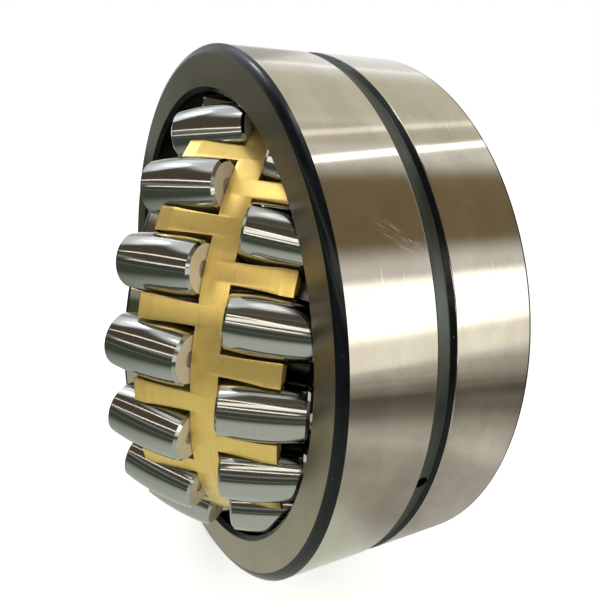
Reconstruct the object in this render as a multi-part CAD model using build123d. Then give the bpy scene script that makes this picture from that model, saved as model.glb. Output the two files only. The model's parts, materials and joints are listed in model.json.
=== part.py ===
from build123d import *
import os
from math import asin, cos, degrees, sin, sqrt

# A self-aligning bearing: two rows of barrel rollers run in one spherical raceway.
# Millimetres.  The origin is the bearing's centre, Y is the outer ring's axis, Z is up.
# The inner ring, rollers and cage stand swung out of the outer ring, turned about Z.

# Overall sizes
outer_diameter = 540.0
bore_diameter = 300.0
bearing_width = 192.0
swing_at_rest = 44.4  # degrees that the inner assembly is swung out about Z

# Outer ring
outer_ring_wall = 25.0  # from the raceway's middle to the outer diameter
mouth_chamfer = 4.0
outer_corner_axial = 6.6
outer_corner_radial = 8.9
outer_corner_bulge = 1.2  # how far the rounded corner stands outside a flat chamfer
groove_width = 19.6
groove_floor_width = 11.4
groove_depth = 4.5
oil_hole_count = 3
oil_hole_diameter = 12.0
oil_hole_angle = -13.3  # first hole, degrees from +X towards +Z

# Rollers
rollers_per_row = 19
roller_diameter = 51.5
roller_profile_radius = 238.0
row_spacing = 24.9  # between the two rows' inner end faces, on the roller axes
shoulder_width = 11.4  # from a roller's outer end face to the ring's side, on the roller axis
roller_corner = 2.2
recess_diameter = 13.5
recess_depth = 3.0
recess_flare = 1.3
first_roller_angle = 83.3  # degrees from +X towards +Z, in the assembly before it is swung out

# Inner ring
inner_profile_radius = 245.0
flange_height = 3.2
flange_corner = 3.5
undercut_width = 3.0
undercut_depth = 1.0
bore_corner = 5.0

# Cage
cage_rise = 10.6  # outside of the cage above the circle of roller centres
cage_wall = 14.7
prong_past_centre = 15.0  # prong tip past the middle of the rollers, along the axis
tip_taper_length = 12.2
tip_taper_depth = 2.0

# Guide ring
guide_corner = 0.6

# Clearances, each on one side
race_clearance = 0.2
flange_clearance = 0.4
guide_side_clearance = 0.3
guide_bore_clearance = 0.25
guide_cage_clearance = 0.3
pocket_clearance = 2.0
pocket_floor_clearance = 0.7

# Worked out from the sizes above
outer_radius = outer_diameter / 2
bore_radius = bore_diameter / 2
half_width = bearing_width / 2
sphere_radius = outer_radius - outer_ring_wall
roller_radius = roller_diameter / 2
inner_end_y = row_spacing / 2
outer_end_y = half_width - shoulder_width
centre_y = (inner_end_y + outer_end_y) / 2
centre_distance = sphere_radius - race_clearance - roller_radius
tilt = asin(centre_y / centre_distance)  # slope of a roller's axis, equal to the contact angle
centre_radius = centre_distance * cos(tilt)
half_length = (outer_end_y - inner_end_y) / 2 / cos(tilt)
roller_pitch = 360 / rollers_per_row
inner_contact = centre_distance - roller_radius - race_clearance
cage_outer_radius = centre_radius + cage_rise
cage_bore_radius = cage_outer_radius - cage_wall
prong_tip_y = centre_y + prong_past_centre
pocket_radius = roller_radius + pocket_clearance


def arc_sag(radius, reach):
    """How far an arc of this radius falls away at this reach from its middle."""
    return radius - sqrt(radius**2 - reach**2)


def section_point(along, out):
    """A point of the half section, (r, y): along the roller's axis, and out from the bearing's centre."""
    return (out * cos(tilt) - along * sin(tilt), along * cos(tilt) + out * sin(tilt))


def mirrored(points):
    """The same section points on the other side of the middle plane, in reverse order."""
    return [(r, -y) for r, y in reversed(points)]


def turned(profile):
    """A solid of revolution about Y from edges drawn in the XY plane."""
    face = make_face(profile)
    return revolve(face, Axis.Y, 360)


def swung_out(solid):
    return Rot(0, 0, -swing_at_rest) * solid


def outer_ring():
    corner_r = outer_radius - outer_corner_radial
    corner_y = half_width - outer_corner_axial
    corner_chord = sqrt(outer_corner_axial**2 + outer_corner_radial**2)
    bulge_r = (outer_radius + corner_r) / 2 + outer_corner_bulge * outer_corner_axial / corner_chord
    bulge_y = (half_width + corner_y) / 2 + outer_corner_bulge * outer_corner_radial / corner_chord
    race_edge_y = half_width - mouth_chamfer
    race_edge_r = sqrt(sphere_radius**2 - race_edge_y**2)
    mouth_r = race_edge_r + mouth_chamfer
    floor_r = outer_radius - groove_depth
    outside = [
        (outer_radius, corner_y),
        (outer_radius, groove_width / 2),
        (floor_r, groove_floor_width / 2),
    ]
    with BuildLine() as profile:
        ThreePointArc((race_edge_r, -race_edge_y), (sphere_radius, 0), (race_edge_r, race_edge_y))
        Polyline((race_edge_r, race_edge_y), (mouth_r, half_width), (corner_r, half_width))
        ThreePointArc((corner_r, half_width), (bulge_r, bulge_y), (outer_radius, corner_y))
        Polyline(*outside, *mirrored(outside))
        ThreePointArc((outer_radius, -corner_y), (bulge_r, -bulge_y), (corner_r, -half_width))
        Polyline((corner_r, -half_width), (mouth_r, -half_width), (race_edge_r, -race_edge_y))
    ring = turned(profile.edges())
    for hole in range(oil_hole_count):
        angle = oil_hole_angle + hole * 360 / oil_hole_count
        drill = Cylinder(
            oil_hole_diameter / 2,
            2 * outer_ring_wall,
            rotation=(0, 90, 0),
            align=(Align.CENTER, Align.CENTER, Align.CENTER),
        )
        ring -= Rot(0, -angle, 0) * Pos(outer_radius - outer_ring_wall / 2, 0, 0) * drill
    return ring


def race_point(along):
    """A point of the inner raceway's section at this place along the roller's axis."""
    return section_point(along, inner_contact + arc_sag(inner_profile_radius, along))


def inner_ring():
    inner_edge = race_point(-half_length)
    outer_edge = race_point(half_length - undercut_width)
    foot_out = inner_contact + arc_sag(inner_profile_radius, half_length) - undercut_depth
    undercut_start = section_point(half_length - undercut_width, foot_out)
    flange_foot = section_point(half_length + flange_clearance, foot_out)
    flange_r = race_point(half_length)[0] + flange_height
    flange_y = flange_foot[1] + (flange_r - flange_foot[0]) * sin(tilt) / cos(tilt)
    outside = [
        outer_edge,
        undercut_start,
        flange_foot,
        (flange_r, flange_y),
        (flange_r, half_width - flange_corner),
        (flange_r - flange_corner, half_width),
        (bore_radius + bore_corner, half_width),
        (bore_radius, half_width - bore_corner),
    ]
    middle = race_point(0)
    with BuildLine() as profile:
        Line((inner_edge[0], -inner_edge[1]), inner_edge)
        ThreePointArc(inner_edge, race_point(-undercut_width / 2), outer_edge)
        Polyline(*outside, *mirrored(outside))
        ThreePointArc(
            (outer_edge[0], -outer_edge[1]),
            (middle[0], -middle[1]),
            (inner_edge[0], -inner_edge[1]),
        )
    return turned(profile.edges())


def guide_ring():
    bore_r = race_point(-half_length)[0] + guide_bore_clearance
    rim_r = cage_bore_radius - guide_cage_clearance
    face_along = -half_length - guide_side_clearance
    face_r, face_y = section_point(face_along, centre_distance)
    slope = sin(tilt) / cos(tilt)
    bore_y = face_y + (bore_r - face_r) * slope
    rim_y = face_y + (rim_r - face_r) * slope
    side = [
        (bore_r, bore_y - guide_corner),
        (bore_r + guide_corner, bore_y + guide_corner * slope),
        (rim_r - guide_corner, rim_y - guide_corner * slope),
        (rim_r, rim_y - guide_corner),
    ]
    with BuildLine() as profile:
        Polyline(*side, *mirrored(side), close=True)
    return turned(profile.edges())


def roller_seat(row, number):
    """Place and direction of a roller: its Z axis runs outwards along the roller's own axis."""
    angle = first_roller_angle - (number + (0.5 if row > 0 else 0)) * roller_pitch
    lean = degrees(tilt)
    turn = Rot(0, -angle, 0)
    return turn * Pos(centre_radius, row * centre_y, 0) * Rot(-90 * row, 0, 0) * Rot(0, -lean, 0)


def roller():
    end_radius = roller_radius - arc_sag(roller_profile_radius, half_length)
    edge_z = half_length - roller_corner
    edge_radius = roller_radius - arc_sag(roller_profile_radius, edge_z)
    end = [
        (edge_radius, edge_z),
        (end_radius - roller_corner, half_length),
        (recess_diameter / 2 + recess_flare, half_length),
        (recess_diameter / 2, half_length - recess_flare),
        (recess_diameter / 2, half_length - recess_depth),
        (0, half_length - recess_depth),
    ]
    points = [(x, 0, z) for x, z in end]
    below = [(x, 0, -z) for x, z in reversed(end)]
    with BuildLine() as profile:
        ThreePointArc(below[-1], (roller_radius, 0, 0), points[0])
        Polyline(*points, *below)
    return revolve(make_face(profile.edges()), Axis.Z, 360)


def cage():
    taper_y = prong_tip_y - tip_taper_length
    side = [
        (cage_outer_radius, taper_y),
        (cage_outer_radius - tip_taper_depth, prong_tip_y),
        (cage_bore_radius, prong_tip_y),
    ]
    with BuildLine() as profile:
        Polyline(*side, *mirrored(side), close=True)
    body = turned(profile.edges())
    floor = -half_length - pocket_floor_clearance
    pocket = Pos(0, 0, floor) * Cylinder(
        pocket_radius, 3 * half_length, align=(Align.CENTER, Align.CENTER, Align.MIN)
    )
    pockets = [roller_seat(row, n) * pocket for row in (-1, 1) for n in range(rollers_per_row)]
    return body - pockets


def write(name, solid):
    export_step(swung_out(solid), f"parts/{name}.step")


os.makedirs("parts", exist_ok=True)
export_step(outer_ring(), "parts/outer_ring.step")
write("inner_ring", inner_ring())
write("guide_ring", guide_ring())
write("cage", cage())
barrel = roller()
for row, row_name in ((-1, "front"), (1, "back")):
    for number in range(rollers_per_row):
        write(f"{row_name}_roller_{number + 1:02d}", roller_seat(row, number) * barrel)
print("contact angle", round(degrees(tilt), 3), "roller length", round(2 * half_length, 2))
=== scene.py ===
import json
from math import atan2, cos, hypot, pi, radians, sin, sqrt

import bmesh
import bpy
from mathutils import Euler, Matrix, Vector


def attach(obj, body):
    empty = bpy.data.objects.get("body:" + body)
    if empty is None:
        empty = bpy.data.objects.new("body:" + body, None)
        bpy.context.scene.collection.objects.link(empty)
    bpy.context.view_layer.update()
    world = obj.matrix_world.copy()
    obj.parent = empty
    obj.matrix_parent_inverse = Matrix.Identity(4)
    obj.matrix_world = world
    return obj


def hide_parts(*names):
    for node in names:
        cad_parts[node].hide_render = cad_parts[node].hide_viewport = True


# A big self-aligning roller bearing, its inner assembly swung out of the outer ring.
# Sizes in the dictionaries are millimetres and degrees; the meshes are metres.

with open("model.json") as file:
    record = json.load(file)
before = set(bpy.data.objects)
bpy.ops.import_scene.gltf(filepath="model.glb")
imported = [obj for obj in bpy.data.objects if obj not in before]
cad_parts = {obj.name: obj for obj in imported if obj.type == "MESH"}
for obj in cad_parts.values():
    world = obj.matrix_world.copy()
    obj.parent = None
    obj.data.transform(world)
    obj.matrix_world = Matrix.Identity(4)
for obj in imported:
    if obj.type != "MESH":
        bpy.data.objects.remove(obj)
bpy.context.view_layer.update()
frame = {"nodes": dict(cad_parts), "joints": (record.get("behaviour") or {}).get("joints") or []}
joints = {joint["name"]: joint for joint in frame["joints"]}
mm = 0.001
samePoint = 1e-6  # metres between points that count as one
flush = 0.02  # millimetres off a flat that still count as on it
print("frame loaded,", len(frame["nodes"]), "pieces")


# Small tools for objects, nodes and colours.  Of a map range's inputs, 0 is the value, 1 and 2 the range it
# comes in, and 3 and 4 the range it goes out in.  Of a mix's, 0 is the share of 7 in 6.

def newThing(name, data):
    thing = bpy.data.objects.new(name, data)
    bpy.context.collection.objects.link(thing)
    return thing


def shapedThing(shape, name):
    # Turns a bmesh into an object.
    mesh = bpy.data.meshes.new(name)
    shape.to_mesh(mesh)
    shape.free()
    return newThing(name, mesh)


def hexColour(code):
    channels = [int(code[i:i + 2], 16) / 255 for i in (0, 2, 4)]
    linear = [c / 12.92 if c <= 0.04045 else ((c + 0.055) / 1.055) ** 2.4 for c in channels]
    return (*linear, 1)


def addNode(tree, kind, settings=None, inputs=None):
    node = tree.nodes.new("ShaderNode" + kind)
    for name, value in (settings or {}).items():
        setattr(node, name, value)
    for key, value in (inputs or {}).items():
        if isinstance(value, bpy.types.NodeSocket):
            tree.links.new(value, node.inputs[key])
        else:
            node.inputs[key].default_value = value
    return node


def newMaterial(name):
    material = bpy.data.materials.new(name)
    material.use_nodes = True
    material.node_tree.nodes.clear()
    return material


def turnedPlace(tree, longMm, shortMm, loopMm):
    # Place on a turned piece, seamless round its axis: features are longMm long round it, on the radius
    # loopMm, and shortMm across.
    uv = addNode(tree, "UVMap", {"uv_map": "lathe"})
    split = addNode(tree, "SeparateXYZ", inputs={0: uv.outputs[0]})
    angle = addNode(tree, "Math", {"operation": "MULTIPLY"}, {0: split.outputs[0], 1: 2 * pi})
    across = addNode(tree, "Math", {"operation": "COSINE"}, {0: angle.outputs[0]})
    up = addNode(tree, "Math", {"operation": "SINE"}, {0: angle.outputs[0]})
    place = addNode(tree, "CombineXYZ", inputs={0: across.outputs[0], 1: up.outputs[0], 2: split.outputs[1]})
    size = (loopMm / longMm, loopMm / longMm, 1 / (shortMm * mm))
    return addNode(tree, "VectorMath", {"operation": "MULTIPLY"}, {0: place.outputs[0], 1: size}).outputs[0]


# Steel, brass and iron finishes

def groundSteel():
    # Through-hardened bearing steel, cylindrically ground: fine lines round the ring that smear
    # each reflection along it, a warm grey, faint bands and a few handling scratches.
    material = newMaterial("groundBearingSteel")
    tree = material.node_tree
    lines = addNode(tree, "TexNoise", inputs={  # real lines are 0.05 mm apart, drawn at 1.2 mm to show
        "Vector": turnedPlace(tree, 260, 1.2, 270), "Scale": 1, "Detail": 3, "Roughness": 0.6})
    bands = addNode(tree, "TexNoise", inputs={
        "Vector": turnedPlace(tree, 220, 34, 270), "Scale": 1, "Detail": 2, "Roughness": 0.5})
    clouds = addNode(tree, "TexNoise", inputs={
        "Vector": turnedPlace(tree, 70, 60, 270), "Scale": 1, "Detail": 3, "Roughness": 0.55})
    stains = addNode(tree, "TexNoise", inputs={
        "Vector": turnedPlace(tree, 16, 13, 270), "Scale": 1, "Detail": 4, "Roughness": 0.6})
    uv = addNode(tree, "UVMap", {"uv_map": "lathe"})
    around = 2 * pi * 0.27  # metres once round the outside
    flat = addNode(tree, "Mapping", inputs={"Vector": uv.outputs[0], "Scale": (around, 1, 1)})
    slant = addNode(tree, "Mapping", inputs={
        "Vector": flat.outputs[0], "Rotation": (0, 0, radians(38)), "Scale": (26, 900, 1)})
    marks = addNode(tree, "TexNoise", inputs={
        "Vector": slant.outputs[0], "Scale": 1, "Detail": 1, "Roughness": 0.4})
    scratch = addNode(tree, "MapRange", inputs={0: marks.outputs[0], 1: 0.735, 2: 0.76, 3: 0, 4: 1})
    patch = addNode(tree, "MapRange", inputs={0: clouds.outputs[0], 1: 0.55, 2: 0.66, 3: 0, 4: 1})
    scratched = addNode(tree, "Math", {"operation": "MULTIPLY"}, {0: scratch.outputs[0], 1: patch.outputs[0]})
    sling = addNode(tree, "Mapping", {"vector_type": "TEXTURE"}, {  # a slanting rub, about 50 mm long
        "Vector": flat.outputs[0], "Location": (0.1517, -0.033, 0), "Rotation": (0, 0, radians(125)),
        "Scale": (0.027, 0.008, 1)})
    reach = addNode(tree, "VectorMath", {"operation": "LENGTH"}, {0: sling.outputs[0]})
    inside = addNode(tree, "MapRange", {"interpolation_type": "SMOOTHSTEP"}, {
        0: reach.outputs["Value"], 1: 0.55, 2: 1.15, 3: 1, 4: 0})
    drawn = addNode(tree, "Mapping", inputs={"Vector": sling.outputs[0], "Scale": (0.8, 7, 1)})
    rubs = addNode(tree, "TexNoise", inputs={
        "Vector": drawn.outputs[0], "Scale": 1.6, "Detail": 3, "Roughness": 0.6})
    rub = addNode(tree, "MapRange", inputs={0: rubs.outputs[0], 1: 0.54, 2: 0.62, 3: 0, 4: 1})
    rubbed = addNode(tree, "Math", {"operation": "MULTIPLY"}, {0: rub.outputs[0], 1: inside.outputs[0]})
    warm = addNode(tree, "MapRange", inputs={0: clouds.outputs[0], 1: 0.35, 2: 0.68, 3: 0, 4: 1})
    base = addNode(tree, "Mix", {"data_type": "RGBA"}, {
        0: warm.outputs[0], 6: hexColour("c9c4b5"), 7: hexColour("bcb5a6")}).outputs[2]
    banded = addNode(tree, "MapRange", inputs={0: bands.outputs[0], 1: 0.4, 2: 0.7, 3: 0, 4: 0.45})
    base = addNode(tree, "Mix", {"data_type": "RGBA"}, {
        0: banded.outputs[0], 6: base, 7: hexColour("b3ad9f")}).outputs[2]
    stained = addNode(tree, "MapRange", inputs={0: stains.outputs[0], 1: 0.5, 2: 0.68, 3: 0, 4: 0.25})
    base = addNode(tree, "Mix", {"data_type": "RGBA"}, {
        0: stained.outputs[0], 6: base, 7: hexColour("a79e8d")}).outputs[2]
    base = addNode(tree, "Mix", {"data_type": "RGBA"}, {
        0: scratched.outputs[0], 6: base, 7: hexColour("f3f1ea")}).outputs[2]
    base = addNode(tree, "Mix", {"data_type": "RGBA"}, {
        0: rubbed.outputs[0], 6: base, 7: hexColour("fbf8f0")}).outputs[2]
    worn = addNode(tree, "MapRange", inputs={0: rubbed.outputs[0], 1: 0, 2: 1, 3: 0, 4: 0.3})
    rough = addNode(tree, "MapRange", inputs={0: lines.outputs[0], 1: 0.3, 2: 0.7, 3: 0.09, 4: 0.14})
    rough = addNode(tree, "Math", {"operation": "ADD"}, {0: rough.outputs[0], 1: worn.outputs[0]})
    bump = addNode(tree, "Bump", inputs={"Strength": 0.05, "Distance": 0.0002, "Height": lines.outputs[0]})
    tangent = addNode(tree, "Tangent", {"direction_type": "UV_MAP", "uv_map": "lathe"})
    shader = addNode(tree, "BsdfPrincipled", inputs={
        "Base Color": base, "Metallic": 1, "Roughness": rough.outputs[0], "Anisotropic": 0.9,
        "Anisotropic Rotation": 0.25, "Tangent": tangent.outputs[0], "Normal": bump.outputs[0]})
    addNode(tree, "OutputMaterial", inputs={0: shader.outputs[0]})
    return material


def satinSteel():
    # The ring's flat side, fine turned and ground: dull, darker and browner, with round lines.
    material = newMaterial("satinGroundSteel")
    tree = material.node_tree
    lines = addNode(tree, "TexNoise", inputs={  # real lines are 0.1 mm apart, drawn at 0.9 mm to show
        "Vector": turnedPlace(tree, 200, 0.9, 250), "Scale": 1, "Detail": 3, "Roughness": 0.6})
    clouds = addNode(tree, "TexNoise", inputs={
        "Vector": turnedPlace(tree, 60, 40, 250), "Scale": 1, "Detail": 3, "Roughness": 0.5})
    share = addNode(tree, "MapRange", inputs={0: clouds.outputs[0], 1: 0.35, 2: 0.65, 3: 0, 4: 1})
    base = addNode(tree, "Mix", {"data_type": "RGBA"}, {
        0: share.outputs[0], 6: hexColour("9f9581"), 7: hexColour("928975")}).outputs[2]
    streak = addNode(tree, "MapRange", inputs={0: lines.outputs[0], 1: 0.35, 2: 0.7, 3: 0, 4: 0.3})
    base = addNode(tree, "Mix", {"data_type": "RGBA"}, {
        0: streak.outputs[0], 6: base, 7: hexColour("a8a294")}).outputs[2]
    bump = addNode(tree, "Bump", inputs={"Strength": 0.08, "Distance": 0.0002, "Height": lines.outputs[0]})
    tangent = addNode(tree, "Tangent", {"direction_type": "UV_MAP", "uv_map": "lathe"})
    shader = addNode(tree, "BsdfPrincipled", inputs={
        "Base Color": base, "Metallic": 1, "Roughness": 0.3, "Anisotropic": 0.5,
        "Anisotropic Rotation": 0.25, "Tangent": tangent.outputs[0], "Normal": bump.outputs[0]})
    addNode(tree, "OutputMaterial", inputs={0: shader.outputs[0]})
    return material


def blackedSteel():
    # Heat-blackened oxide left where the grinding wheel doesn't reach: blue-black and glossy,
    # with small bright chips where the skin is knocked off.
    material = newMaterial("blackOxideSteel")
    tree = material.node_tree
    clouds = addNode(tree, "TexNoise", inputs={
        "Vector": turnedPlace(tree, 18, 9, 265), "Scale": 1, "Detail": 4, "Roughness": 0.6})
    chips = addNode(tree, "TexNoise", inputs={
        "Vector": turnedPlace(tree, 4, 2.2, 265), "Scale": 1, "Detail": 2, "Roughness": 0.5})
    share = addNode(tree, "MapRange", inputs={0: clouds.outputs[0], 1: 0.35, 2: 0.7, 3: 0, 4: 1})
    base = addNode(tree, "Mix", {"data_type": "RGBA"}, {
        0: share.outputs[0], 6: hexColour("080b0d"), 7: hexColour("121619")}).outputs[2]
    chip = addNode(tree, "MapRange", inputs={0: chips.outputs[0], 1: 0.77, 2: 0.79, 3: 0, 4: 1})
    base = addNode(tree, "Mix", {"data_type": "RGBA"}, {
        0: chip.outputs[0], 6: base, 7: hexColour("9a9da0")}).outputs[2]
    rough = addNode(tree, "MapRange", inputs={0: clouds.outputs[0], 1: 0.3, 2: 0.7, 3: 0.15, 4: 0.24})
    bump = addNode(tree, "Bump", inputs={"Strength": 0.08, "Distance": 0.0003, "Height": clouds.outputs[0]})
    shader = addNode(tree, "BsdfPrincipled", inputs={
        "Base Color": base, "Metallic": 0, "Roughness": rough.outputs[0], "IOR": 1.3,
        "Normal": bump.outputs[0]})
    addNode(tree, "OutputMaterial", inputs={0: shader.outputs[0]})
    return material


def grooveOxide():
    # Floor of the oil groove: the same oxide under dried oil, a dull dark green-grey.
    material = newMaterial("oilyGrooveOxide")
    tree = material.node_tree
    clouds = addNode(tree, "TexNoise", inputs={
        "Vector": turnedPlace(tree, 40, 8, 265), "Scale": 1, "Detail": 4, "Roughness": 0.6})
    share = addNode(tree, "MapRange", inputs={0: clouds.outputs[0], 1: 0.35, 2: 0.7, 3: 0, 4: 1})
    base = addNode(tree, "Mix", {"data_type": "RGBA"}, {
        0: share.outputs[0], 6: hexColour("40463f"), 7: hexColour("4c524a")}).outputs[2]
    rough = addNode(tree, "MapRange", inputs={0: clouds.outputs[0], 1: 0.3, 2: 0.7, 3: 0.28, 4: 0.4})
    shader = addNode(tree, "BsdfPrincipled", inputs={
        "Base Color": base, "Metallic": 0.8, "Roughness": rough.outputs[0]})
    addNode(tree, "OutputMaterial", inputs={0: shader.outputs[0]})
    return material


def honedRaceWithPaintedShade():
    # Honed raceway of a ring: smooth steel with fine lines round it, its colour darkened to near black as
    # painted shade for the dark hollow it lies in.
    material = newMaterial("honedRacewayPaintedShade")
    tree = material.node_tree
    lines = addNode(tree, "TexNoise", inputs={  # real lines are 0.02 mm apart, drawn at 1.4 mm to show
        "Vector": turnedPlace(tree, 240, 1.4, 240), "Scale": 1, "Detail": 2, "Roughness": 0.5})
    streak = addNode(tree, "MapRange", inputs={0: lines.outputs[0], 1: 0.35, 2: 0.7, 3: 0, 4: 1})
    # painted shade: these near-black base colours stand in for the shade inside the bearing
    base = addNode(tree, "Mix", {"data_type": "RGBA"}, {
        0: streak.outputs[0], 6: hexColour("4a4843"), 7: hexColour("403f3b")}).outputs[2]
    rough = addNode(tree, "MapRange", inputs={0: lines.outputs[0], 1: 0.3, 2: 0.7, 3: 0.16, 4: 0.22})
    shader = addNode(tree, "BsdfPrincipled", inputs={
        "Base Color": base, "Metallic": 1, "Roughness": rough.outputs[0]})
    addNode(tree, "OutputMaterial", inputs={0: shader.outputs[0]})
    return material


def polishedRoller():
    # Superfinished roller steel: almost a mirror, neutral grey, with the faintest lines round it.
    material = newMaterial("superfinishedRollerSteel")
    tree = material.node_tree
    lines = addNode(tree, "TexNoise", inputs={  # real lines are finer than 0.01 mm, drawn at 0.8 mm
        "Vector": turnedPlace(tree, 60, 0.8, 26), "Scale": 1, "Detail": 2, "Roughness": 0.5})
    streak = addNode(tree, "MapRange", inputs={0: lines.outputs[0], 1: 0.35, 2: 0.7, 3: 0, 4: 1})
    base = addNode(tree, "Mix", {"data_type": "RGBA"}, {
        0: streak.outputs[0], 6: hexColour("b2b3af"), 7: hexColour("b0b1ad")}).outputs[2]
    rough = addNode(tree, "MapRange", inputs={0: lines.outputs[0], 1: 0.3, 2: 0.7, 3: 0.1, 4: 0.13})
    bump = addNode(tree, "Bump", inputs={"Strength": 0.004, "Distance": 0.00005, "Height": lines.outputs[0]})
    tangent = addNode(tree, "Tangent", {"direction_type": "UV_MAP", "uv_map": "lathe"})
    shader = addNode(tree, "BsdfPrincipled", inputs={
        "Base Color": base, "Metallic": 1, "Roughness": rough.outputs[0], "Anisotropic": 0.5,
        "Anisotropic Rotation": 0.25, "Tangent": tangent.outputs[0], "Normal": bump.outputs[0]})
    addNode(tree, "OutputMaterial", inputs={0: shader.outputs[0]})
    return material


def rollerEndWithPaintedReflection():
    # Faced end of a roller: turned rings, pale, dull and warm. The pale warm colour is painted light and
    # painted reflection: lightened and warmed to stand in for the light on the ends and the brass cage they
    # mirror.
    material = newMaterial("facedRollerEndPaintedReflection")
    tree = material.node_tree
    rings = addNode(tree, "TexNoise", inputs={  # real rings are 0.1 mm apart, drawn at 0.7 mm to show
        "Vector": turnedPlace(tree, 60, 0.7, 20), "Scale": 1, "Detail": 2, "Roughness": 0.5})
    streak = addNode(tree, "MapRange", inputs={0: rings.outputs[0], 1: 0.35, 2: 0.7, 3: 0, 4: 1})
    # painted light and painted reflection: a pale, warm base that stands in for the light on the ends and the
    # brass they mirror
    base = addNode(tree, "Mix", {"data_type": "RGBA"}, {
        0: streak.outputs[0], 6: hexColour("e4dcc8"), 7: hexColour("dad2bd")}).outputs[2]
    bump = addNode(tree, "Bump", inputs={"Strength": 0.04, "Distance": 0.0001, "Height": rings.outputs[0]})
    shader = addNode(tree, "BsdfPrincipled", inputs={
        "Base Color": base, "Metallic": 0.4, "Roughness": 0.42, "Normal": bump.outputs[0]})
    addNode(tree, "OutputMaterial", inputs={0: shader.outputs[0]})
    return material


def machinedBrass():
    # Centrifugally cast brass, turned and milled: satin yellow with cutter lines round the web,
    # under a thin tarnish that takes some of its shine, with brown handling stains.
    material = newMaterial("machinedCageBrass")
    tree = material.node_tree
    lines = addNode(tree, "TexNoise", inputs={  # real lines are 0.2 mm apart, drawn at 0.9 mm to show
        "Vector": turnedPlace(tree, 150, 0.9, 220), "Scale": 1, "Detail": 3, "Roughness": 0.6})
    stains = addNode(tree, "TexNoise", inputs={
        "Vector": turnedPlace(tree, 16, 12, 220), "Scale": 1, "Detail": 5, "Roughness": 0.65})
    streak = addNode(tree, "MapRange", inputs={0: lines.outputs[0], 1: 0.3, 2: 0.7, 3: 0, 4: 1})
    base = addNode(tree, "Mix", {"data_type": "RGBA"}, {
        0: streak.outputs[0], 6: hexColour("efd07a"), 7: hexColour("e8c76f")}).outputs[2]
    stain = addNode(tree, "MapRange", inputs={0: stains.outputs[0], 1: 0.56, 2: 0.8, 3: 0, 4: 0.45})
    base = addNode(tree, "Mix", {"data_type": "RGBA"}, {
        0: stain.outputs[0], 6: base, 7: hexColour("b8924c")}).outputs[2]
    rough = addNode(tree, "MapRange", inputs={0: lines.outputs[0], 1: 0.3, 2: 0.7, 3: 0.27, 4: 0.38})
    bump = addNode(tree, "Bump", inputs={"Strength": 0.03, "Distance": 0.0002, "Height": lines.outputs[0]})
    tangent = addNode(tree, "Tangent", {"direction_type": "UV_MAP", "uv_map": "lathe"})
    shader = addNode(tree, "BsdfPrincipled", inputs={
        "Base Color": base, "Metallic": 0.68, "Roughness": rough.outputs[0], "Anisotropic": 0.4,
        "Anisotropic Rotation": 0.25, "Tangent": tangent.outputs[0], "Normal": bump.outputs[0]})
    addNode(tree, "OutputMaterial", inputs={0: shader.outputs[0]})
    return material


def deburredBrass():
    # Pocket edges broken with a scraper: a narrow, brighter and smoother line.
    material = newMaterial("deburredBrassEdge")
    tree = material.node_tree
    nicks = addNode(tree, "TexNoise", inputs={
        "Vector": turnedPlace(tree, 3, 3, 220), "Scale": 1, "Detail": 2, "Roughness": 0.5})
    share = addNode(tree, "MapRange", inputs={0: nicks.outputs[0], 1: 0.4, 2: 0.7, 3: 0, 4: 1})
    base = addNode(tree, "Mix", {"data_type": "RGBA"}, {
        0: share.outputs[0], 6: hexColour("f4e3ab"), 7: hexColour("dcc27c")}).outputs[2]
    shader = addNode(tree, "BsdfPrincipled", inputs={
        "Base Color": base, "Metallic": 1, "Roughness": 0.3})
    addNode(tree, "OutputMaterial", inputs={0: shader.outputs[0]})
    return material


def turnedIron():
    # Cast-iron guide ring, turned all over: dark grey, fine grain, oily.
    material = newMaterial("turnedGuideIron")
    tree = material.node_tree
    grain = addNode(tree, "TexNoise", inputs={
        "Vector": turnedPlace(tree, 3, 1.5, 195), "Scale": 1, "Detail": 4, "Roughness": 0.6})
    share = addNode(tree, "MapRange", inputs={0: grain.outputs[0], 1: 0.35, 2: 0.65, 3: 0, 4: 1})
    base = addNode(tree, "Mix", {"data_type": "RGBA"}, {
        0: share.outputs[0], 6: hexColour("77756f"), 7: hexColour("615f5a")}).outputs[2]
    bump = addNode(tree, "Bump", inputs={"Strength": 0.15, "Distance": 0.0003, "Height": grain.outputs[0]})
    shader = addNode(tree, "BsdfPrincipled", inputs={
        "Base Color": base, "Metallic": 1, "Roughness": 0.42, "Normal": bump.outputs[0]})
    addNode(tree, "OutputMaterial", inputs={0: shader.outputs[0]})
    return material


steelOutside, steelSide, steelBlack, steelGroove = groundSteel(), satinSteel(), blackedSteel(), grooveOxide()
steelRacePaintedShade, steelRoller, steelRollerEndPaintedReflection = honedRaceWithPaintedShade(), polishedRoller(), rollerEndWithPaintedReflection()
brass, brassEdge, iron = machinedBrass(), deburredBrass(), turnedIron()
print("finishes made")


# Turning pieces from their sections

def drawSection(corners, closed=True):
    # Each corner is (radius, along the axis, rounding, rise of the run to the next corner).
    section = bmesh.new()
    spots = [Vector((radius * mm, along * mm, 0)) for radius, along, rounding, rise in corners]
    roundings = [rounding * mm for radius, along, rounding, rise in corners]
    rises = [rise * mm for radius, along, rounding, rise in corners]
    verts = [section.verts.new(spot) for spot in spots]
    ends = list(range(1, len(spots))) + ([0] if closed else [])
    runs = [section.edges.new((verts[start], verts[end])) for start, end in enumerate(ends)]
    for rise, run in zip(rises, runs):
        if rise:
            bowRun(section, run, rise)
    for rounding, spot in zip(roundings, spots):
        if rounding:
            vert = min(section.verts, key=lambda other: (other.co - spot).length)
            bmesh.ops.bevel(section, geom=[vert], offset=rounding, offset_type="OFFSET", segments=4,
                            profile=0.5, affect="VERTICES", clamp_overlap=False, material=-1)
    for start, end in enumerate(ends):
        if not rises[start]:
            holdEnds(section, spots[start], spots[end])
    return section


def mirrored(half):
    # The same corners on the other side of the middle plane, in reverse order, with straight runs.
    return [(radius, -along, rounding, 0) for radius, along, rounding, rise in reversed(half)]


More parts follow.
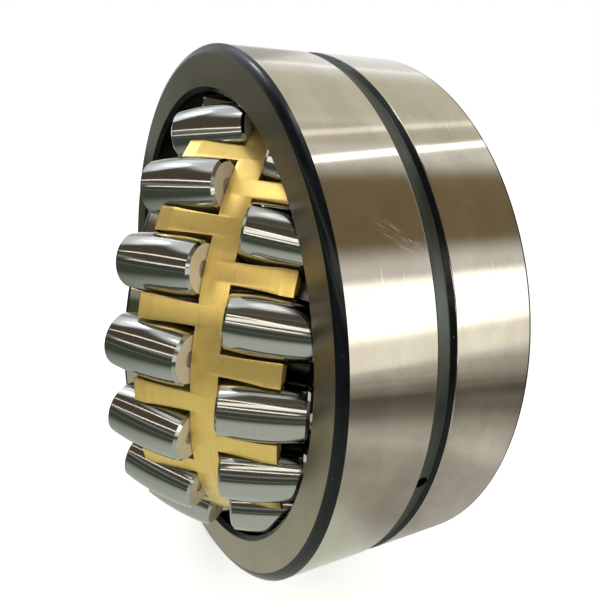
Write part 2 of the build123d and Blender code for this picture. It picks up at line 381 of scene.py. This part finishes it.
def bowRun(section, run, rise):
    # Bends a straight run into an arc that stands this far off its chord, on the right-hand side.
    step, fewest = 6 * mm, 5  # about how far apart the arc's points are, and the fewest points added
    start, end = (vert.co.copy() for vert in run.verts)
    chord = end - start
    half = chord.length / 2
    radius = (half ** 2 + rise ** 2) / (2 * abs(rise))
    side = Vector((chord.y, -chord.x, 0)).normalized() * (1 if rise > 0 else -1)
    middle = (start + end) / 2
    cut = bmesh.ops.subdivide_edges(section, edges=[run], cuts=max(fewest, round(chord.length / step)))
    for vert in [part for part in cut["geom_inner"] if isinstance(part, bmesh.types.BMVert)]:
        reach = (vert.co - middle).dot(chord.normalized())
        vert.co += side * (sqrt(radius ** 2 - reach ** 2) - radius + abs(rise))


def holdEnds(section, start, end):
    # A point near each end of a straight run keeps its flat even beside a rounded corner.
    hold, shortest, onLine = 0.3 * mm, 2 * mm, 1e-7
    way = (end - start).normalized()
    for run in section.edges[:]:
        off = [(vert.co - start).cross(way).length for vert in run.verts]
        if max(off) < onLine and run.calc_length() > shortest:
            first, last = run.verts
            for vert in (first, last):
                ways = {edge: (edge.other_vert(vert).co - vert.co).normalized() for edge in vert.link_edges}
                piece = min(ways, key=lambda edge: ways[edge].cross(way).length)
                bmesh.utils.edge_split(piece, vert, hold / piece.calc_length())


def spinSection(section, steps):
    bmesh.ops.spin(section, geom=section.verts[:] + section.edges[:], cent=(0, 0, 0), axis=(0, 1, 0),
                   dvec=(0, 0, 0), angle=2 * pi, space=Matrix(), steps=steps, use_merge=True)
    bmesh.ops.remove_doubles(section, verts=section.verts, dist=samePoint)
    bmesh.ops.recalc_face_normals(section, faces=section.faces)
    return section


def cutAway(body, cutter):
    # Takes the cutter's closed shapes out of the body, and gives back the body as a new bmesh.
    holders = [shapedThing(body, "cutBody"), shapedThing(cutter, "cutTool")]
    cut = holders[0].modifiers.new("cut", "BOOLEAN")
    cut.operation, cut.solver, cut.object = "DIFFERENCE", "EXACT", holders[1]
    shaped = holders[0].evaluated_get(bpy.context.evaluated_depsgraph_get()).to_mesh()
    result = bmesh.new()
    result.from_mesh(shaped)
    for holder in holders:
        mesh = holder.data
        bpy.data.objects.remove(holder)
        bpy.data.meshes.remove(mesh)
    return result


def layLathe(shape):
    # UV of a piece turned about Y: U is the turn, 0 to 1, and V the place along or across, in metres.
    sideFrom = 0.72  # a face whose normal points this much along Y is part of a side
    lathe = shape.loops.layers.uv.new("lathe")
    for face in shape.faces:
        middle = face.calc_center_median()
        turn = atan2(middle.z, middle.x)
        onSide = abs(face.normal.y) > sideFrom
        for loop in face.loops:
            spot = loop.vert.co
            radius = hypot(spot.x, spot.z)
            angle = atan2(spot.z, spot.x) if radius > samePoint else turn
            angle += 2 * pi * round((turn - angle) / (2 * pi))
            loop[lathe].uv = (angle / (2 * pi), radius if onSide else spot.y)


def finishPiece(shape, name, node, finishes, place=None):
    smoothUpTo = 28  # degrees between two faces
    layLathe(shape)
    if place is not None:
        bmesh.ops.transform(shape, matrix=place, space=Matrix(), verts=shape.verts)
    piece = shapedThing(shape, name)
    for finish in finishes:
        piece.data.materials.append(finish)
    piece.data.shade_smooth()
    piece.data.set_sharp_from_angle(angle=radians(smoothUpTo))
    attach(piece, node)
    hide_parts(node)
    return piece


def jointPlace(name):
    # From a piece turned about Y at the centre to its joint's own place and axis.
    joint = joints[name]
    turn = Vector((0, 1, 0)).rotation_difference(Vector(joint["axis"])).to_matrix().to_4x4()
    return Matrix.Translation(Vector(joint["pos_m"])) @ turn


swing = jointPlace("inner_spin")  # the assembly's own axis, swung out of the outer ring

# Outer ring: spherical raceway, oil groove with three holes, blackened round corners

outerRing = {
    "radius": 270, "halfWidth": 96, "raceRadius": 245, "mouthChamfer": 4,
    "cornerAlong": 6.6, "cornerIn": 8.9, "cornerRise": 1.2, "blackOverrun": 1.2,
    "grooveWidth": 19.6, "grooveFloor": 11.4, "grooveDepth": 4.5, "grooveEdge": 0.6,
    "groundDown": 0.45, "floorEdge": 0.8, "mouthEdge": 0.6, "raceEdge": 0.4,
    "oilHoles": 3, "oilHole": 12, "firstOilHole": -13.3, "steps": 256,
}


def makeOuterRing():
    size = outerRing
    raceEdgeY = size["halfWidth"] - size["mouthChamfer"]
    raceEdge = sqrt(size["raceRadius"] ** 2 - raceEdgeY ** 2)
    mouth = raceEdge + size["mouthChamfer"]
    cornerY = size["halfWidth"] - size["cornerAlong"]
    corner = size["radius"] - size["cornerIn"]
    floor = size["radius"] - size["grooveDepth"]
    raceRise = size["raceRadius"] - raceEdge
    half = [  # from the front mouth round the outside to the groove's floor
        (mouth, -size["halfWidth"], size["mouthEdge"], 0),
        (corner, -size["halfWidth"], 0, size["cornerRise"]),
        (size["radius"], -cornerY, 0, 0),
        (size["radius"], -size["grooveWidth"] / 2, size["grooveEdge"], 0),
        (floor, -size["grooveFloor"] / 2, size["floorEdge"], 0),
    ]
    back = mirrored(half)
    blackFrom = cornerY - size["blackOverrun"]  # the black runs a little over the far edge
    back[2:3] = [(size["radius"], blackFrom, 0, 0), (size["radius"], cornerY, 0, size["cornerRise"])]
    raceway = [
        (raceEdge, raceEdgeY, size["raceEdge"], -raceRise),
        (raceEdge, -raceEdgeY, size["raceEdge"], 0),
    ]
    ring = spinSection(drawSection(half + back + raceway), size["steps"])
    wall = size["radius"] - size["raceRadius"]
    drills = bmesh.new()
    for number in range(size["oilHoles"]):
        angle = size["firstOilHole"] + number * 360 / size["oilHoles"]
        turn = Euler((0, -radians(angle), 0)).to_matrix().to_4x4()
        out = Matrix.Translation(((size["radius"] - wall / 2) * mm, 0, 0))
        onSide = Euler((0, pi / 2, 0)).to_matrix().to_4x4()
        bmesh.ops.create_cone(drills, cap_ends=True, cap_tris=False, segments=40, depth=2 * wall * mm,
                              radius1=size["oilHole"] / 2 * mm, radius2=size["oilHole"] / 2 * mm,
                              matrix=turn @ out @ onSide)
    ring = cutAway(ring, drills)
    outside, side, black, groove, race = range(5)  # places in the list of finishes
    near = 0.3  # millimetres off the groove's floor or the raceway that still count as on it
    for face in ring.faces:
        spot = face.calc_center_median()
        radius, along = hypot(spot.x, spot.z) / mm, abs(spot.y) / mm
        outward = face.normal.x * spot.x + face.normal.z * spot.z
        if radius > size["radius"] - size["groundDown"] and -cornerY < spot.y / mm < blackFrom:
            face.material_index = outside
        elif along > size["halfWidth"] - flush and radius < corner:
            face.material_index = side
        elif along < size["grooveWidth"] / 2 and abs(radius - floor) < near and outward > 0:
            face.material_index = groove
        elif radius < size["raceRadius"] + near and along < raceEdgeY - near:
            face.material_index = race
        else:
            face.material_index = black
    finishPiece(ring, "outerRing", "outer_ring",
                [steelOutside, steelSide, steelBlack, steelGroove, steelRacePaintedShade])


makeOuterRing()
print("outer ring made")

# Rollers: barrel profile, chamfered ends with a centring recess in each

roller = {
    "diameter": 51.5, "length": 73.99, "profileRadius": 238, "corner": 2.2,
    "recess": 13.5, "recessDepth": 3, "recessFlare": 1.3, "recessEdge": 0.3, "steps": 96,
}


def rollerShape():
    size = roller
    half = size["length"] / 2
    edge = half - size["corner"]
    rise = size["profileRadius"] - sqrt(size["profileRadius"] ** 2 - edge ** 2)
    end = size["diameter"] / 2 - size["profileRadius"] + sqrt(size["profileRadius"] ** 2 - half ** 2)
    plain = end - size["corner"]
    recess = size["recess"] / 2
    front = [
        (0, -half + size["recessDepth"], 0, 0),
        (recess, -half + size["recessDepth"], size["recessEdge"], 0),
        (recess, -half + size["recessFlare"], 0, 0),
        (recess + size["recessFlare"], -half, size["recessEdge"], 0),
        (plain, -half, 0, 0),
        (size["diameter"] / 2 - rise, -edge, 0, rise),
    ]
    shape = spinSection(drawSection(front + mirrored(front), closed=False), size["steps"])
    for face in shape.faces:
        spot = face.calc_center_median()
        radius, along = hypot(spot.x, spot.z) / mm, abs(spot.y) / mm
        faced = along > half - size["recessDepth"] - flush and radius < plain + flush
        face.material_index = 1 if faced else 0
    return shape


def makeRollers():
    pattern = bpy.data.meshes.new("rollerPattern")
    shape = rollerShape()
    shape.to_mesh(pattern)
    shape.free()
    names = sorted(name for name in frame["nodes"] if "_roller_" in name)
    for name in names:
        copy = bmesh.new()
        copy.from_mesh(pattern)
        row, number = name.split("_roller_")
        finishPiece(copy, row + "Roller" + number, name, [steelRoller, steelRollerEndPaintedReflection],
                    jointPlace(name + "_spin"))
    bpy.data.meshes.remove(pattern)
    return len(names)


print("rollers made:", makeRollers())

# Cage: one turned brass ring, with a round pocket for each roller milled in from both sides

cage = {
    "outside": 224.208, "bore": 209.508, "tip": 63.525, "taperLength": 12.2, "taperDepth": 2,
    "pocket": 55.5, "pocketFloor": -37.695, "cutterLength": 120, "edgeBreak": 0.5, "sharpFrom": 35,
    "mergeWithin": 0.1, "sliver": 0.05, "steps": 304,
}


def makeCage():
    size = cage
    taper = size["tip"] - size["taperLength"]
    half = [
        (size["bore"], -size["tip"], 0, 0),
        (size["outside"] - size["taperDepth"], -size["tip"], 0, 0),
        (size["outside"], -taper, 0, 0),
    ]
    ring = spinSection(drawSection(half + mirrored(half)), size["steps"])
    length = size["cutterLength"] * mm
    onSide = Euler((pi / 2, 0, 0)).to_matrix().to_4x4()
    cutters = bmesh.new()
    for name in joints:
        if "_roller_" in name:
            outward = 1 if name.startswith("back") else -1
            reach = Matrix.Translation((0, outward * (size["pocketFloor"] * mm + length / 2), 0))
            bmesh.ops.create_cone(cutters, cap_ends=True, cap_tris=False, segments=64, depth=length,
                                  radius1=size["pocket"] / 2 * mm, radius2=size["pocket"] / 2 * mm,
                                  matrix=swing.inverted() @ jointPlace(name) @ reach @ onSide)
    ring = cutAway(ring, cutters)
    bmesh.ops.remove_doubles(ring, verts=ring.verts, dist=size["mergeWithin"] * mm)
    bmesh.ops.dissolve_degenerate(ring, edges=ring.edges, dist=size["sliver"] * mm)
    whole = [edge for edge in ring.edges if len(edge.link_faces) == 2]
    sharp = [edge for edge in whole if edge.calc_face_angle() > radians(size["sharpFrom"])]
    bmesh.ops.bevel(ring, geom=sharp, offset=size["edgeBreak"] * mm, offset_type="OFFSET", segments=2,
                    profile=0.5, affect="EDGES", clamp_overlap=False, material=1)
    bmesh.ops.recalc_face_normals(ring, faces=ring.faces)
    finishPiece(ring, "cageBody", "cage", [brass, brassEdge], swing)


makeCage()
print("cage made")

# Inner ring: two hollow raceways, side flanges with relief grooves, a plain press bore

innerRing = {
    "bore": 150, "halfWidth": 96, "contact": 193.1, "profileRadius": 245, "tilt": 12.7986,
    "halfRoller": roller["length"] / 2, "relief": 3, "reliefDepth": 1,
    "flangeGap": 0.4, "flangeRise": 3.2, "flangeCorner": 3.5, "boreCorner": 5,
    "reliefEdge": 0.3, "flangeEdge": 0.5, "cornerEdge": 0.8, "steps": 256,
}


def racePoint(along, out):
    # A point of the section, measured along a roller's axis and out from the bearing's centre.
    lean = radians(innerRing["tilt"])
    return out * cos(lean) - along * sin(lean), along * cos(lean) + out * sin(lean)


def makeInnerRing():
    size = innerRing
    raceEnd = size["halfRoller"] - size["relief"]

    def sag(reach):
        return size["profileRadius"] - sqrt(size["profileRadius"] ** 2 - reach ** 2)

    innerEdge = racePoint(-size["halfRoller"], size["contact"] + sag(size["halfRoller"]))
    outerEdge = racePoint(raceEnd, size["contact"] + sag(raceEnd))
    foot = size["contact"] + sag(size["halfRoller"]) - size["reliefDepth"]
    reliefStart = racePoint(raceEnd, foot)
    flangeFoot = racePoint(size["halfRoller"] + size["flangeGap"], foot)
    flange = racePoint(size["halfRoller"], size["contact"] + sag(size["halfRoller"]))[0] + size["flangeRise"]
    lean = radians(size["tilt"])
    flangeY = flangeFoot[1] + (flange - flangeFoot[0]) * sin(lean) / cos(lean)
    chord = hypot(outerEdge[0] - innerEdge[0], outerEdge[1] - innerEdge[1])
    rise = sag(chord / 2)
    half = [  # from the middle land to the bore, for the back row
        (*innerEdge, 0, -rise),
        (*outerEdge, 0, 0),
        (*reliefStart, size["reliefEdge"], 0),
        (*flangeFoot, size["reliefEdge"], 0),
        (flange, flangeY, size["flangeEdge"], 0),
        (flange, size["halfWidth"] - size["flangeCorner"], size["cornerEdge"], 0),
        (flange - size["flangeCorner"], size["halfWidth"], size["cornerEdge"], 0),
        (size["bore"] + size["boreCorner"], size["halfWidth"], size["cornerEdge"], 0),
        (size["bore"], size["halfWidth"] - size["boreCorner"], size["cornerEdge"], 0),
    ]
    front = mirrored(half)
    front[-2] = (*front[-2][:3], -rise)  # the front row's raceway is hollow too
    ring = spinSection(drawSection(half + front), size["steps"])
    outside, side, race, black = range(4)  # places in the list of finishes
    skin = 0.05  # millimetres off the bore or the flange that still count as on it
    for face in ring.faces:
        spot = face.calc_center_median()
        radius, along = hypot(spot.x, spot.z) / mm, abs(spot.y) / mm
        if along > size["halfWidth"] - flush:
            face.material_index = side
        elif innerEdge[1] < along < outerEdge[1] and radius > size["bore"] + size["boreCorner"]:
            face.material_index = race
        elif radius < size["bore"] + skin or radius > flange - skin:
            face.material_index = outside
        else:
            face.material_index = black
    finishPiece(ring, "innerRing", "inner_ring",
                [steelOutside, steelSide, steelRacePaintedShade, steelBlack], swing)


makeInnerRing()
print("inner ring made")

# Guide ring: a loose ring between the two rows, its sides sloped to the rollers' ends

guideRing = {
    "bore": 199.487, "rim": 209.208, "boreFlank": 7.073, "rimFlank": 9.281, "corner": 0.6, "steps": 256,
}


def makeGuideRing():
    size = guideRing
    corners = [
        (size["bore"], -size["boreFlank"], size["corner"], 0),
        (size["rim"], -size["rimFlank"], size["corner"], 0),
        (size["rim"], size["rimFlank"], size["corner"], 0),
        (size["bore"], size["boreFlank"], size["corner"], 0),
    ]
    ring = spinSection(drawSection(corners), size["steps"])
    finishPiece(ring, "guideRing", "guide_ring", [iron], swing)


makeGuideRing()
print("guide ring made")

# Floor, background, lamps and the reflecting cards round them

studio = {
    "floor": -270, "floorSize": 8, "floorColour": "f4f3f0", "floorLift": 0.55,
    "roomColour": "ffffff", "roomLight": 0.62, "clothNear": "dadfd2", "clothFar": "565c50",
    "clothMiddle": (0.4, -0.1, 0), "clothFade": (0.35, 1.0), "clothSize": 3.4, "clothLift": 1,
    "boardSlope": 0.4, "boardsEnd": 3.2,
    "boards": [  # the floor behind: metres back to the middle of each board, and its colour
        (0, "ffffff"), (0.2, "b4b0a8"), (0.45, "dcdad4"), (0.7, "8c8880"), (1, "6c6860"), (1.5, "bcb8b0"),
        (3, "f8f4f0"),
    ],
}


def seenShare(tree):
    # 1 for what the camera sees straight, mirrored or through something clear, and 0 for stray light.
    rays = addNode(tree, "LightPath")
    direct = addNode(tree, "Math", {"operation": "ADD"}, {
        0: rays.outputs["Is Camera Ray"], 1: rays.outputs["Is Glossy Ray"]})
    return addNode(tree, "Math", {"operation": "ADD", "use_clamp": True}, {
        0: direct.outputs[0], 1: rays.outputs["Is Transmission Ray"]}).outputs[0]


def makeFloor():
    shape = bmesh.new()
    bmesh.ops.create_grid(shape, x_segments=1, y_segments=1, size=studio["floorSize"],
                          matrix=Matrix.Translation((0, 0, studio["floor"] * mm)))
    floor = shapedThing(shape, "studioFloor")
    material = newMaterial("whitePaperFloor")
    tree = material.node_tree
    lift = addNode(tree, "Math", {"operation": "MULTIPLY"}, {0: seenShare(tree), 1: studio["floorLift"]})
    paper = addNode(tree, "BsdfDiffuse", inputs={"Color": hexColour(studio["floorColour"])})
    glow = addNode(tree, "Emission", inputs={
        "Color": hexColour(studio["roomColour"]), "Strength": lift.outputs[0]})
    both = addNode(tree, "AddShader", inputs={0: paper.outputs[0], 1: glow.outputs[0]})
    addNode(tree, "OutputMaterial", inputs={0: both.outputs[0]})
    floor.data.materials.append(material)


def makeRoom():
    world = bpy.data.worlds.new("paleRoom")
    bpy.context.scene.world = world
    world.use_nodes = True
    tree = world.node_tree
    tree.nodes.clear()
    level = addNode(tree, "MapRange", inputs={0: seenShare(tree), 1: 0, 2: 1, 3: studio["roomLight"], 4: 1})
    sky = addNode(tree, "Background", inputs={
        "Color": hexColour(studio["roomColour"]), "Strength": level.outputs[0]})
    addNode(tree, "OutputWorld", inputs={0: sky.outputs[0]})


# Soft boxes that light the scene: name, direction from the bearing, distance, width, height, level
lamps = [
    ("keySoftbox", (0.80, 0.35, 0.55), 3.0, 3.0, 2.0, 1.1),
    ("topSoftbox", (-0.35, -0.30, 0.90), 3.0, 2.6, 2.6, 0.8),
    ("frontSoftbox", (-0.05, -0.98, 0.16), 3.0, 2.4, 1.2, 1.8),
]

# Cards seen only in the metal, bent round the Y or Z axis.  Each has its name, axis, distance, start and
# end angle, the start and end along Y in metres or in elevation, the soft edge in degrees or metres of
# each way, colour and level.  Angles run from +X, towards +Z for those round Y and +Y for those round Z.
cards = [
    ("sideSoftbox", "Y", 3.0, (4, 31), (0.1, 5), (5, 0.3), "ffffff", 2.6),
    ("lowGlow", "Y", 3.05, (-8, 12), (0.1, 5), (4, 0.3), "fffcf4", 1.4),
    ("brownCloth", "Y", 3.0, (33, 81.5), (0.1, 5), (12, 0.3), "89795f", 1),
    ("overheadStrip", "Y", 2.9, (82.6, 86), (0.1, 4), (0.3, 0.3), "ffffff", 3.4),
    ("roofShade", "Y", 2.95, (86.5, 99), (0.1, 5), (1.5, 0.3), "e4dfd0", 1),
    ("roofEdge", "Y", 2.88, (95, 99), (0.1, 4), (1, 0.3), "fffdf2", 1.5),
    ("roofPaper", "Y", 3.0, (97, 136), (0.1, 5), (8, 0.3), "eae7d8", 1),
    ("roofStrip", "Y", 2.9, (138, 142.5), (0.1, 5), (2, 0.3), "ffffff", 1.7),
    ("horizonCloth", "Z", 3.0, (-170, -8), (-8, 14), (6, 6), "50564a", 1),
    ("brownDrape", "Z", 2.8, (-142, 16), (8, 57), (8, 8), "61584a", 1),
    ("highDrape", "Z", 2.75, (-76, 14), (48, 78), (8, 7), "6b6353", 1),
    ("greyPaper", "Z", 2.9, (148, 188), (12, 40), (5, 5), "c6c7c2", 1),
    ("highSoftbox", "Z", 2.5, (-182, -130), (33, 55), (8, 6), "f4f8ff", 1.7),
    ("highLamp", "Z", 2.4, (-156, -144), (43, 52), (4, 3), "e6f0ff", 24),
    ("webSoftbox", "Z", 2.5, (-115, -92), (59, 73), (7, 5), "fffdf4", 9),
    ("zenithSoftbox", "Z", 2.5, (-180, 180), (79, 90), (0, 5), "ffffff", 2),
]
slantMiddle = 2.1  # metres along Y where a slanting card keeps its angles
cardSlants = {"overheadStrip": 7, "roofEdge": 7}  # degrees further round for each metre past slantMiddle

# Thin tube lamps close by, seen only in the rollers: name, two ends, thickness, level
tubes = [
    ("nearTube", (-0.30, -0.76, 0.36), (0.48, -0.18, 0.235), 0.014, 3.6),
    ("lowTube", (-0.20, -1.05, 0.21), (0.62, -0.23, 0.18), 0.018, 3.6),
    ("wideTube", (0.31, -0.45, 0.245), (0.55, -0.12, 0.24), 0.07, 2),
]


def aimed(direction, distance):
    # A flat thing facing the bearing, its width along the level.
    away = Vector(direction).normalized()
    turn = away.to_track_quat("Z", "Y").to_matrix().to_4x4()
    return Matrix.Translation(away * distance) @ turn


def makeLamps():
    for name, direction, distance, width, height, level in lamps:
        data = bpy.data.lights.new(name, "AREA")
        data.shape, data.size, data.size_y = "RECTANGLE", width, height
        data.energy = level * pi * width * height
        lamp = newThing(name, data)
        lamp.matrix_world = aimed(direction, distance)
        lamp.visible_camera = lamp.visible_glossy = False


def stageGlow(shape, name, colour, level, soft=None):
    # Something bright or dark round the bearing that only shows in its metal, with soft edges if given.
    thing = shapedThing(shape, name)
    material = newMaterial(name + "Glow")
    tree = material.node_tree
    surface = addNode(tree, "Emission", inputs={"Color": hexColour(colour), "Strength": level})
    if soft:
        uv = addNode(tree, "UVMap", {"uv_map": "card"})
        split = addNode(tree, "SeparateXYZ", inputs={0: uv.outputs[0]})
        shares = []
        for part in (0, 1):
            near = addNode(tree, "Math", {"operation": "PINGPONG"}, {0: split.outputs[part], 1: 0.5})
            shares.append(addNode(tree, "MapRange", {"interpolation_type": "SMOOTHSTEP"}, {
                0: near.outputs[0], 1: -0.001, 2: soft[part], 3: 0, 4: 1}))
        both = addNode(tree, "Math", {"operation": "MULTIPLY"}, {
            0: shares[0].outputs[0], 1: shares[1].outputs[0]})
        clear = addNode(tree, "BsdfTransparent")
        surface = addNode(tree, "MixShader", inputs={
            0: both.outputs[0], 1: clear.outputs[0], 2: surface.outputs[0]})
    addNode(tree, "OutputMaterial", inputs={0: surface.outputs[0]})
    thing.data.materials.append(material)
    thing.visible_camera = thing.visible_diffuse = thing.visible_shadow = False
    return thing


def makeCards():
    for name, axis, distance, turns, span, soft, colour, level in cards:
        shape = bmesh.new()
        shape.loops.layers.uv.new("card")
        bmesh.ops.create_grid(shape, x_segments=24, y_segments=12, size=0.5, calc_uvs=True)
        for vert in shape.verts:
            angle = radians(turns[0] + (vert.co.x + 0.5) * (turns[1] - turns[0]))
            reach = span[0] + (vert.co.y + 0.5) * (span[1] - span[0])
            if axis == "Y":
                angle += radians(cardSlants.get(name, 0)) * (reach - slantMiddle)
                vert.co = distance * cos(angle), reach, distance * sin(angle)
            else:
                out = distance * cos(radians(reach))
                vert.co = out * cos(angle), out * sin(angle), distance * sin(radians(reach))
        softShare = [soft[part] / abs(ends[1] - ends[0]) for part, ends in enumerate((turns, span))]
        stageGlow(shape, name, colour, level, softShare)


def makeTubes():
    for name, start, end, thickness, level in tubes:
        shape = bmesh.new()
        start, end = Vector(start), Vector(end)
        turn = (end - start).to_track_quat("Z", "Y").to_matrix().to_4x4()
        bmesh.ops.create_cone(shape, cap_ends=True, cap_tris=False, segments=16, radius1=thickness / 2,
                              radius2=thickness / 2, depth=(end - start).length,
                              matrix=Matrix.Translation((start + end) / 2) @ turn)
        stageGlow(shape, name, "fff8ea", level)


def makeFloorCloth():
    # What the metal sees of the floor: pale cloth beside the bearing that darkens further out in front,
    # and boards behind.
    shape = bmesh.new()
    bmesh.ops.create_circle(
        shape, cap_ends=True, cap_tris=False, segments=64, radius=studio["clothSize"],
        matrix=Matrix.Translation((0, 0, (studio["floor"] + studio["clothLift"]) * mm)))
    cloth = stageGlow(shape, "floorCloth", "c4cabc", 1)
    tree = cloth.data.materials[0].node_tree
    place = addNode(tree, "TexCoord")
    away = addNode(tree, "VectorMath", {"operation": "DISTANCE"}, {
        0: place.outputs["Object"], 1: studio["clothMiddle"]})
    far = addNode(tree, "MapRange", {"interpolation_type": "SMOOTHSTEP"}, {
        0: away.outputs["Value"], 1: studio["clothFade"][0], 2: studio["clothFade"][1]})
    colour = addNode(tree, "Mix", {"data_type": "RGBA"}, {
        0: far.outputs[0], 6: hexColour(studio["clothNear"]), 7: hexColour(studio["clothFar"])}).outputs[2]
    split = addNode(tree, "SeparateXYZ", inputs={0: place.outputs["Object"]})
    behind = addNode(tree, "MapRange", {"interpolation_type": "SMOOTHSTEP"}, {
        0: split.outputs[1], 1: 0, 2: 0.08})
    slope = addNode(tree, "Math", {"operation": "MULTIPLY_ADD"}, {
        0: split.outputs[0], 1: studio["boardSlope"], 2: split.outputs[1]})
    across = addNode(tree, "MapRange", inputs={0: slope.outputs[0], 1: 0, 2: studio["boardsEnd"]})
    boards = addNode(tree, "ValToRGB", inputs={0: across.outputs[0]})
    marks = boards.color_ramp.elements
    while len(marks) < len(studio["boards"]):
        marks.new(0.5)
    for mark, (reach, code) in zip(marks, studio["boards"]):
        mark.position, mark.color = reach / studio["boardsEnd"], hexColour(code)
    soft = addNode(tree, "Mapping", inputs={"Vector": place.outputs["Object"], "Scale": (2.5, 7, 1)})
    clouds = addNode(tree, "TexNoise", inputs={"Vector": soft.outputs[0], "Scale": 1, "Detail": 3})
    shade = addNode(tree, "MapRange", inputs={0: clouds.outputs[0], 1: 0.35, 2: 0.65, 3: 0.78, 4: 1.22})
    boards = addNode(tree, "VectorMath", {"operation": "SCALE"}, {
        0: boards.outputs[0], "Scale": shade.outputs[0]})
    colour = addNode(tree, "Mix", {"data_type": "RGBA"}, {
        0: behind.outputs[0], 6: colour, 7: boards.outputs[0]}).outputs[2]
    glow = next(node for node in tree.nodes if node.type == "EMISSION")
    tree.links.new(colour, glow.inputs[0])


makeFloor()
makeRoom()
makeLamps()
makeCards()
makeTubes()
makeFloorCloth()

# Camera

camera = {
    "place": (582.33, -321.27, 255.60), "turn": (69.6080, -4.4960, 61.3024), "lens": 37.677, "sensor": 36,
    "clip": (0.01, 50),
}


def makeCamera():
    data = bpy.data.cameras.new("camera")
    data.lens, data.sensor_width = camera["lens"], camera["sensor"]
    data.clip_start, data.clip_end = camera["clip"]
    thing = newThing("camera", data)
    thing.location = Vector(camera["place"]) * mm
    thing.rotation_euler = [radians(angle) for angle in camera["turn"]]
    bpy.context.scene.camera = thing


makeCamera()
bpy.context.scene.view_settings.view_transform = "Standard"
print("studio ready")
